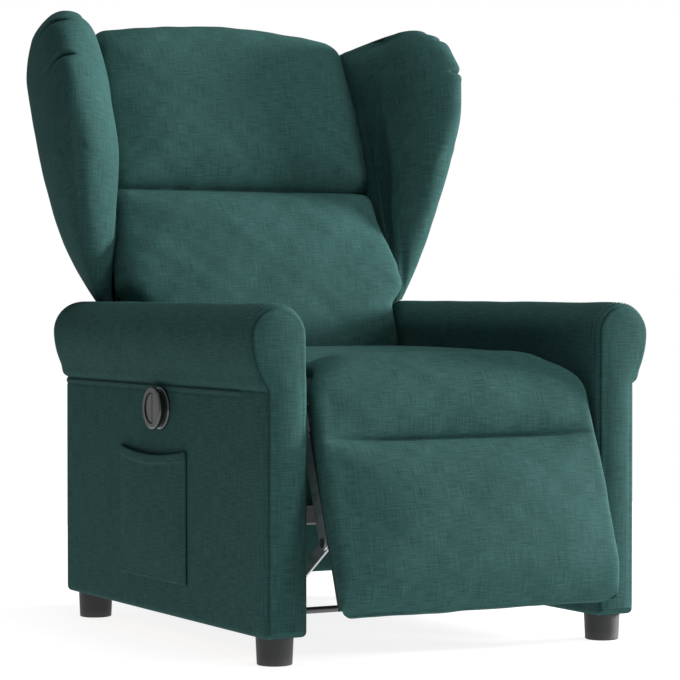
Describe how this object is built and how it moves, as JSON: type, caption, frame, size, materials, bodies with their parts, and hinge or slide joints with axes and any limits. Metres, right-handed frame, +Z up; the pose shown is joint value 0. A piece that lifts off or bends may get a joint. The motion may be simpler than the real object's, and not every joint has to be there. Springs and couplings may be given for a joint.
{
  "type": "power recliner armchair",
  "caption": "Upholstered wing-back power recliner with rolled arms, a sliding seat, a reclining back, a motor-lifted footrest, a side pocket and a round push-button switch.",
  "frame": {"origin": "on the floor under the middle of the whole chair, in the stored pose", "axes": "+X to the sitter's left seen from the front (image right), -Y the way the chair faces, +Z up"},
  "size_m": [0.8016, 1.0371, 1.0821],
  "materials": {
    "upholstery": "dark green linen-look weave",
    "outer_cloth": "dark green linen-look weave",
    "pocket_cloth": "dark green linen-look weave",
    "frame_wood": "sawn softwood",
    "plywood": "plywood",
    "zinc_steel": "galvanised",
    "track_steel": "black powder coat",
    "bar_steel": "dark grey paint",
    "pin_steel": "zinc plated",
    "spring_steel": "drawn wire",
    "webbing": "elastic webbing",
    "foot_plastic": "moulded",
    "nylon": "moulded",
    "case_plastic": "moulded",
    "switch_gloss": "polished",
    "button_gloss": "polished",
    "rod_steel": "turned",
    "lead_sheath": "extruded"
  },
  "bodies": {
    "base": {"left_arm_cover": "outer_cloth", "right_arm_cover": "outer_cloth", "left_arm_front_panel": "outer_cloth", "right_arm_front_panel": "outer_cloth", "left_arm_frame": "frame_wood", "right_arm_frame": "frame_wood", "front_left_foot": "foot_plastic", "front_right_foot": "foot_plastic", "rear_left_foot": "foot_plastic", "rear_right_foot": "foot_plastic", "foot_bolts": "pin_steel", "side_pocket": "pocket_cloth", "switch_housing": "switch_gloss", "switch_lead": "lead_sheath", "motor_lead": "lead_sheath", "left_base_rail": "track_steel", "right_base_rail": "track_steel", "rail_bolts": "pin_steel", "rear_base_panel": "outer_cloth", "rear_cross_tube": "bar_steel", "front_stretcher_bar": "bar_steel", "control_box": "case_plastic", "power_inlet": "case_plastic", "motor_housing": "case_plastic", "actuator_tube": "case_plastic", "motor_pin": "pin_steel"},
    "open_button": {"open_button": "button_gloss"},
    "close_button": {"close_button": "button_gloss"},
    "seat": {"left_seat_plate": "zinc_steel", "right_seat_plate": "zinc_steel", "seat_hangers": "zinc_steel", "seat_glides": "nylon", "seat_pivot_pins": "pin_steel", "seat_front_rail": "frame_wood", "seat_rear_rail": "frame_wood", "seat_side_rails": "frame_wood", "seat_springs": "spring_steel", "seat_cushion": "upholstery", "drive_bar": "bar_steel", "actuator_rod": "rod_steel", "rod_pin": "pin_steel"},
    "crank": {"left_crank": "zinc_steel", "right_crank": "zinc_steel", "torque_tube": "bar_steel", "crank_pins": "pin_steel"},
    "coupler": {"left_coupler": "zinc_steel", "right_coupler": "zinc_steel"},
    "footrest": {"footrest_board": "plywood", "footrest_pad": "upholstery", "left_footrest_bracket": "zinc_steel", "right_footrest_bracket": "zinc_steel", "footrest_pins": "pin_steel"},
    "back": {"back_stiles": "frame_wood", "back_rails": "frame_wood", "back_webbing": "webbing", "back_cushion": "upholstery", "back_rear_panel": "outer_cloth", "back_brackets": "zinc_steel", "left_wing": "upholstery", "right_wing": "upholstery"}
  },
  "joints": [
    {"name": "seat_slide", "type": "slide", "parent": "base", "child": "seat", "axis": [0, -0.9945, 0.1045], "range_m": [-0.02, 0.075]},
    {"name": "back_recline", "type": "hinge", "parent": "seat", "child": "back", "pos_m": [0, 0.34, 0.3], "axis": [-1, 0, 0], "range_deg": [0, 28]},
    {"name": "crank_swing", "type": "hinge", "parent": "seat", "child": "crank", "pos_m": [0, -0.19665, 0.31153], "axis": [-1, 0, 0], "range_deg": [-19.18, 71.1]},
    {"name": "coupler_swing", "type": "hinge", "parent": "crank", "child": "coupler", "pos_m": [0, -0.27065, 0.09904], "axis": [-1, 0, 0], "range_deg": [-71.1, 19.18]},
    {"name": "footrest_swing", "type": "hinge", "parent": "seat", "child": "footrest", "pos_m": [0, -0.3293, 0.401], "axis": [-1, 0, 0], "range_deg": [-19.18, 71.1]},
    {"name": "open_button_press", "type": "slide", "parent": "base", "child": "open_button", "axis": [1, 0, 0], "range_m": [0, 0.002], "stiffness_N_per_m": 600},
    {"name": "close_button_press", "type": "slide", "parent": "base", "child": "close_button", "axis": [1, 0, 0], "range_m": [0, 0.002], "stiffness_N_per_m": 600}
  ],
  "couplings": [
    {"joint": "crank_swing", "follows": "seat_slide", "rad_per_m": 16.476},
    {"joint": "coupler_swing", "follows": "seat_slide", "rad_per_m": -16.476},
    {"joint": "footrest_swing", "follows": "seat_slide", "rad_per_m": 16.476}
  ]
}
